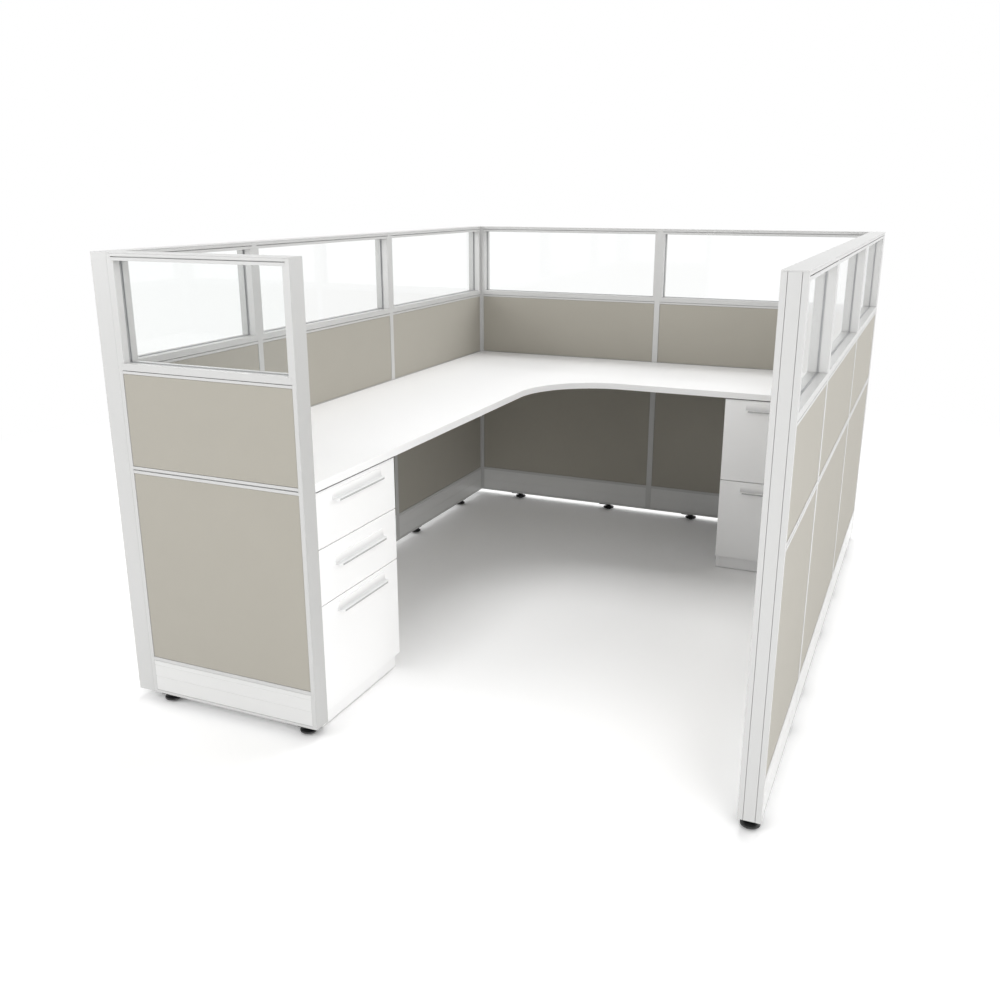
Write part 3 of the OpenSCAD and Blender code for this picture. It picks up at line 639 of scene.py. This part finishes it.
tiles = [n for n in nodes if n.startswith("tiles_")]
fronts = [n for n in nodes if n.startswith("front_")]
boxes = [n for n in nodes if n.startswith("box_")]
pulls = [n for n in nodes if n.startswith("pull_")]
for name in fronts:
    soften(name, FRONT_RADIUS, 3)
for name in boxes + ["left_case", "right_case"]:
    soften(name, BOARD_RADIUS)
for name in pulls:
    piece = soften(name, PULL_RADIUS, 3)
    low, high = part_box(name)
    hollow = piece.data.uv_layers.new(name="Hollow")
    for loop in piece.data.loops:
        spot = piece.data.vertices[loop.vertex_index].co
        out = spot.x - low[0] if name.startswith("pull_left") else high[1] - spot.y
        hollow.data[loop.index].uv = (out, spot.z - low[2])
for name in tiles:
    soften(name, TILE_RADIUS)
soften("levelling_feet", FOOT_RADIUS)
soften("worksurface", TOP_RADIUS, 1)
soften("edge_band", BAND_RADIUS)
print("Softened pieces in all:", len(softened))

# %% [markdown]
# ## The strips on the pulls
#
# The lip of each pull is faced with a soft grey strip, where the fingers take hold. From a
# few steps away it is the thin dark line under the pale shelf. One strip is made at the
# origin: a cube is drawn out to a bar in edit mode, and a bevel rounds its edges. Its
# copies are then turned and moved by a matrix, each with its own mesh. The box of the pull
# says where its lip is.

# %% Strips on the pulls
STRIP_LENGTH, STRIP_DEPTH, STRIP_HEIGHT = 254 * MM, 1.2 * MM, 5.6 * MM
STRIP_PROUD = 0.5 * MM
BAR_RADIUS = 0.5 * MM


def bar(name, size, place, segments):
    """A cube that is drawn out to a bar, moved to its place and rounded."""
    bpy.ops.object.select_all(action="DESELECT")
    bpy.ops.mesh.primitive_cube_add(size=1.0, location=(0.0, 0.0, 0.0))
    made = bpy.context.object
    made.name = name
    bpy.ops.object.mode_set(mode="EDIT")
    bpy.ops.mesh.select_all(action="SELECT")
    bpy.ops.transform.resize(value=size)
    bpy.ops.transform.translate(value=place)
    bpy.ops.object.mode_set(mode="OBJECT")
    apply_modifier(made, "BEVEL", width=BAR_RADIUS, segments=segments, limit_method="NONE")
    return made


def copy_to(piece, name, place, turn=0.0):
    """A copy with its own mesh, turned about the upright axis and then moved."""
    made = bpy.data.objects.new(name, piece.data.copy())
    bpy.context.scene.collection.objects.link(made)
    made.data.transform(Matrix.Translation(place) @ Matrix.Rotation(turn, 4, "Z"))
    return made


strip = bar("pull_strip", (STRIP_LENGTH, STRIP_DEPTH, STRIP_HEIGHT), (0.0, 0.0, 0.0), 3)
only(strip)
bpy.ops.object.shade_smooth_by_angle(angle=SHARP_ANGLE)

for name in pulls:
    low, high = (Vector(corner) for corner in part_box(name))
    middle = (low + high) / 2
    height = low.z + PULL_LIP / 2
    inset = STRIP_DEPTH / 2 - STRIP_PROUD
    if name.startswith("pull_left"):
        made = copy_to(strip, name + "_strip", (high.x - inset, middle.y, height), math.pi / 2)
    else:
        made = copy_to(strip, name + "_strip", (middle.x, low.y + inset, height))
    dress(made, "strip_grey")
    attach(made, nodes[name]["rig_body"])
bpy.data.objects.remove(strip)
print("Strips on pulls:", len(pulls))

# %% [markdown]
# ## Painted shade over the top drawers
#
# Between the worksurface and a top drawer there is a gap of a few millimetres, which lies
# in shade. A dark strip under the worksurface is put there as painted shade, and it is
# what makes that gap read as a dark line. It is another rounded bar, and it ends a hair
# above the drawer front, so the drawer slides freely under it.

# %% Dark strips of painted shade
SHADE_STRIP_DEPTH, SHADE_STRIP_FORWARD, SHADE_STRIP_CLEAR = 14 * MM, 5.2 * MM, 0.4 * MM


def shade_strip(name, front, case):
    """A dark strip of painted shade under the worksurface, just above a drawer front."""
    low, high = (Vector(corner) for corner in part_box(front))
    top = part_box("worksurface")[0][2]
    height = top - high.z - SHADE_STRIP_CLEAR
    middle = (low + high) / 2
    if high.y - low.y > high.x - low.x:
        size = (SHADE_STRIP_DEPTH, high.y - low.y, height)
        place = (high.x + SHADE_STRIP_FORWARD - SHADE_STRIP_DEPTH / 2, middle.y, top - height / 2)
    else:
        size = (high.x - low.x, SHADE_STRIP_DEPTH, height)
        place = (middle.x, low.y - SHADE_STRIP_FORWARD + SHADE_STRIP_DEPTH / 2, top - height / 2)
    made = bar(name, size, place, 2)
    dress(made, "shade_strip_dark")
    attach(made, nodes[case]["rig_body"])
    return made


shade_strips = [shade_strip("left_shade_strip", "front_left_top", "left_case"),
         shade_strip("right_shade_strip", "front_right_upper", "right_case")]
print("Painted shade strips in m:", [tuple(round(v, 4) for v in piece.dimensions) for piece in shade_strips])

# %% [markdown]
# ## Washers on the panel feet
#
# Under its flange each panel foot has a broad plastic washer, which spreads the load and is
# what one sees of the foot from above. It is a low disc: the top face is inset and lifted,
# so that it rises to a blunt cone, and the rims are rounded.

# %% One washer
WASHER_RADIUS, WASHER_HEIGHT, WASHER_LIFT = 26 * MM, 5 * MM, 3 * MM
WASHER_SLOPE, WASHER_RIM, WASHER_SIDES = 9 * MM, 0.8 * MM, 40
CONE_ANGLE, ROUND_ANGLE = math.radians(12.0), math.radians(40.0)
FACES_UP = 0.9

bpy.ops.object.select_all(action="DESELECT")
bpy.ops.mesh.primitive_cylinder_add(vertices=WASHER_SIDES, radius=WASHER_RADIUS,
                                    depth=WASHER_HEIGHT,
                                    location=(0.0, 0.0, WASHER_HEIGHT / 2))
washer = bpy.context.object
washer.name = "foot_washer"
bpy.ops.object.transform_apply(location=True, rotation=False, scale=False)
bpy.ops.object.mode_set(mode="EDIT")
bpy.ops.mesh.select_mode(type="FACE")
bpy.ops.mesh.select_all(action="DESELECT")
shape = bmesh.from_edit_mesh(washer.data)
for face in shape.faces:
    face.select = face.normal.z > FACES_UP
bmesh.update_edit_mesh(washer.data)
bpy.ops.mesh.inset(thickness=WASHER_SLOPE, depth=0.0)
bpy.ops.transform.translate(value=(0.0, 0.0, WASHER_LIFT))
bpy.ops.object.mode_set(mode="OBJECT")
apply_modifier(washer, "BEVEL", width=WASHER_RIM, segments=2, limit_method="ANGLE",
               angle_limit=CONE_ANGLE)
only(washer)
bpy.ops.object.shade_smooth_by_angle(angle=ROUND_ANGLE)
print("Faces of one washer:", len(washer.data.polygons))

# %% [markdown]
# All the feet are one node, so their places are read from its mesh: the points that touch
# the floor lie in one ring for each foot.

# %% Where the feet stand
NEARLY_FLOOR = 0.1 * MM

rings = []
for vertex in nodes["levelling_feet"].data.vertices:
    if vertex.co.z < NEARLY_FLOOR:
        spot = vertex.co.xy.copy()
        ring = next((r for r in rings if (r[0] - spot).length < WASHER_RADIUS), None)
        if ring is None:
            rings.append([spot])
        else:
            ring.append(spot)


def ring_middle(ring):
    """The middle of the box round a ring of points."""
    across, deep = [spot.x for spot in ring], [spot.y for spot in ring]
    return Vector((min(across) + max(across), min(deep) + max(deep))) / 2


middles = [ring_middle(ring) for ring in rings]
print("Feet found:", len(middles))

# %% [markdown]
# A washer's hole is wider than its foot, so the washer settles off the middle: towards the
# front on the two side runs, and to the right on the short front one. The glides of the
# pedestals have no washers, so a foot gets one only where it stands on the centre line of
# a run of panels.

# %% Washers on the feet
PANEL_LINE, NEARLY_ON_LINE = 30 * MM, 2 * MM
WASHER_LOW, SETTLED = 8 * MM, 9.5 * MM

side_line = cad_bounds[1][0] - PANEL_LINE
end_line = cad_bounds[1][1] - PANEL_LINE
washers = 0
for middle in middles:
    on_side = abs(abs(middle.x) - side_line) < NEARLY_ON_LINE
    on_end = abs(abs(middle.y) - end_line) < NEARLY_ON_LINE
    if not (on_side or on_end):
        continue
    if on_side:
        shift_x, shift_y = 0.0, -SETTLED
    else:
        shift_x, shift_y = SETTLED if middle.y < 0 else 0.0, 0.0
    washers += 1
    made = copy_to(washer, "foot_washer_%02d" % washers,
                   (middle.x + shift_x, middle.y + shift_y, WASHER_LOW))
    dress(made, "foot_black")
    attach(made, nodes["levelling_feet"]["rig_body"])
bpy.data.objects.remove(washer)
print("Washers:", washers)

# %% [markdown]
# ## The room around it
#
# The object stands in a white studio. The camera sees plain white there, directly and in
# glass and metal, while soft light meets a dim sky and a matte floor.
#
# What is seen through a pane has lost some light in the tinted glass. The white behind it
# is therefore made a touch brighter with each surface that a ray has passed, so that the
# background stays white through the windows.

# %% The white that is seen
WHITE = (1.0, 1.0, 1.0, 1.0)
LIFT_PER_SURFACE = 0.08


def sight(tree):
    """Whether a ray is one that sees, and how bright the white is that it meets."""
    rays = add_node(tree, "ShaderNodeLightPath").outputs
    through = calc(tree, "MULTIPLY_ADD", rays["Transmission Depth"], LIFT_PER_SURFACE, 1.0)
    bent = calc(tree, "MAXIMUM", rays["Is Glossy Ray"], rays["Is Transmission Ray"])
    return calc(tree, "MAXIMUM", rays["Is Camera Ray"], bent), through


# %% [markdown]
# Near the object the camera sees a floor with soft shadows, lifted a little so that its
# open parts come out white. Farther out the floor fades into plain white. Soft light only
# ever meets the matte floor.

# %% Floor
FLOOR_SIDE = 60.0
FADE_START, FADE_END = 2.4, 4.5
PAPER, PAPER_LIFT = tone(238, 238, 238), tone(130, 130, 130)

bpy.ops.object.select_all(action="DESELECT")
bpy.ops.mesh.primitive_plane_add(size=FLOOR_SIDE, location=(0.0, 0.0, 0.0))
floor = bpy.context.object
floor.name = "floor"
paper = bpy.data.materials.new("White floor")
paper.use_nodes = True
tree = paper.node_tree
tree.nodes.clear()
seen, through = sight(tree)
matte = add_node(tree, "ShaderNodeBsdfDiffuse", {"Color": PAPER})
extra = add_node(tree, "ShaderNodeBsdfDiffuse", {"Color": PAPER_LIFT})
lifted = add_node(tree, "ShaderNodeAddShader", {0: matte.outputs["BSDF"],
                                                1: extra.outputs["BSDF"]})
plain = add_node(tree, "ShaderNodeEmission", {"Color": WHITE, "Strength": through})
reach = add_node(tree, "ShaderNodeVectorMath", {0: object_place(tree)}, operation="LENGTH")
fade = grade(tree, reach.outputs["Value"], 0.0, 1.0, FADE_START, FADE_END, "SMOOTHSTEP")
shown = add_node(tree, "ShaderNodeMixShader", {0: fade, 1: lifted.outputs["Shader"],
                                               2: plain.outputs["Emission"]})
ground = add_node(tree, "ShaderNodeMixShader", {0: seen, 1: matte.outputs["BSDF"],
                                                2: shown.outputs["Shader"]})
add_node(tree, "ShaderNodeOutputMaterial", {"Surface": ground.outputs["Shader"]})
floor.data.materials.append(paper)
print("Floor side in m:", round(floor.dimensions.x, 1))

# %% [markdown]
# The world is white to the eye too, and a dim sky for soft light.

# %% World
SKY_STRENGTH = 0.42

world = bpy.data.worlds.new("Studio")
bpy.context.scene.world = world
world.use_nodes = True
tree = world.node_tree
sky = tree.nodes["Background"]
sky.inputs["Color"].default_value = WHITE
sky.inputs["Strength"].default_value = SKY_STRENGTH
seen, through = sight(tree)
white = add_node(tree, "ShaderNodeBackground", {"Color": WHITE, "Strength": through})
mixed = add_node(tree, "ShaderNodeMixShader", {0: seen, 1: sky.outputs["Background"],
                                               2: white.outputs["Background"]})
tree.links.new(mixed.outputs["Shader"], tree.nodes["World Output"].inputs["Surface"])
bpy.context.scene.view_settings.view_transform = "Standard"
print("Sky strength:", SKY_STRENGTH)

# %% [markdown]
# The lamps are large squares, as softboxes are, all turned to the middle of the object. The
# strongest one hangs high behind it, and the others fill the sides. Two low ones light the
# drawer fronts.

# %% Lamps
AIM = Vector((0.0, 0.0, 0.6))


def lamp(name, place, side, watts):
    """A soft square lamp that looks at the middle of the object."""
    data = bpy.data.lights.new(name, "AREA")
    data.shape = "SQUARE"
    data.size = side
    data.energy = watts
    made = bpy.data.objects.new(name, data)
    bpy.context.scene.collection.objects.link(made)
    made.location = place
    made.rotation_euler = (AIM - Vector(place)).to_track_quat("-Z", "Y").to_euler()
    made.visible_camera = False


lamp("Overhead softbox", (0.0, 4.0, 9.0), side=5.0, watts=347.0)
lamp("Back right softbox", (5.0, 5.0, 4.0), side=4.0, watts=206.0)
lamp("Left fill", (-7.0, 0.0, 3.0), side=4.0, watts=180.0)
lamp("Front left fill", (-4.5, -5.5, 3.0), side=4.0, watts=194.0)
lamp("Front right fill", (4.5, -5.0, 5.0), side=4.0, watts=108.0)
lamp("Low front fill", (4.0, -5.5, 1.2), side=2.2, watts=85.0)
lamp("Low side fill", (6.5, -3.5, 1.2), side=2.0, watts=58.0)

# %% Finish
bpy.context.view_layer.update()
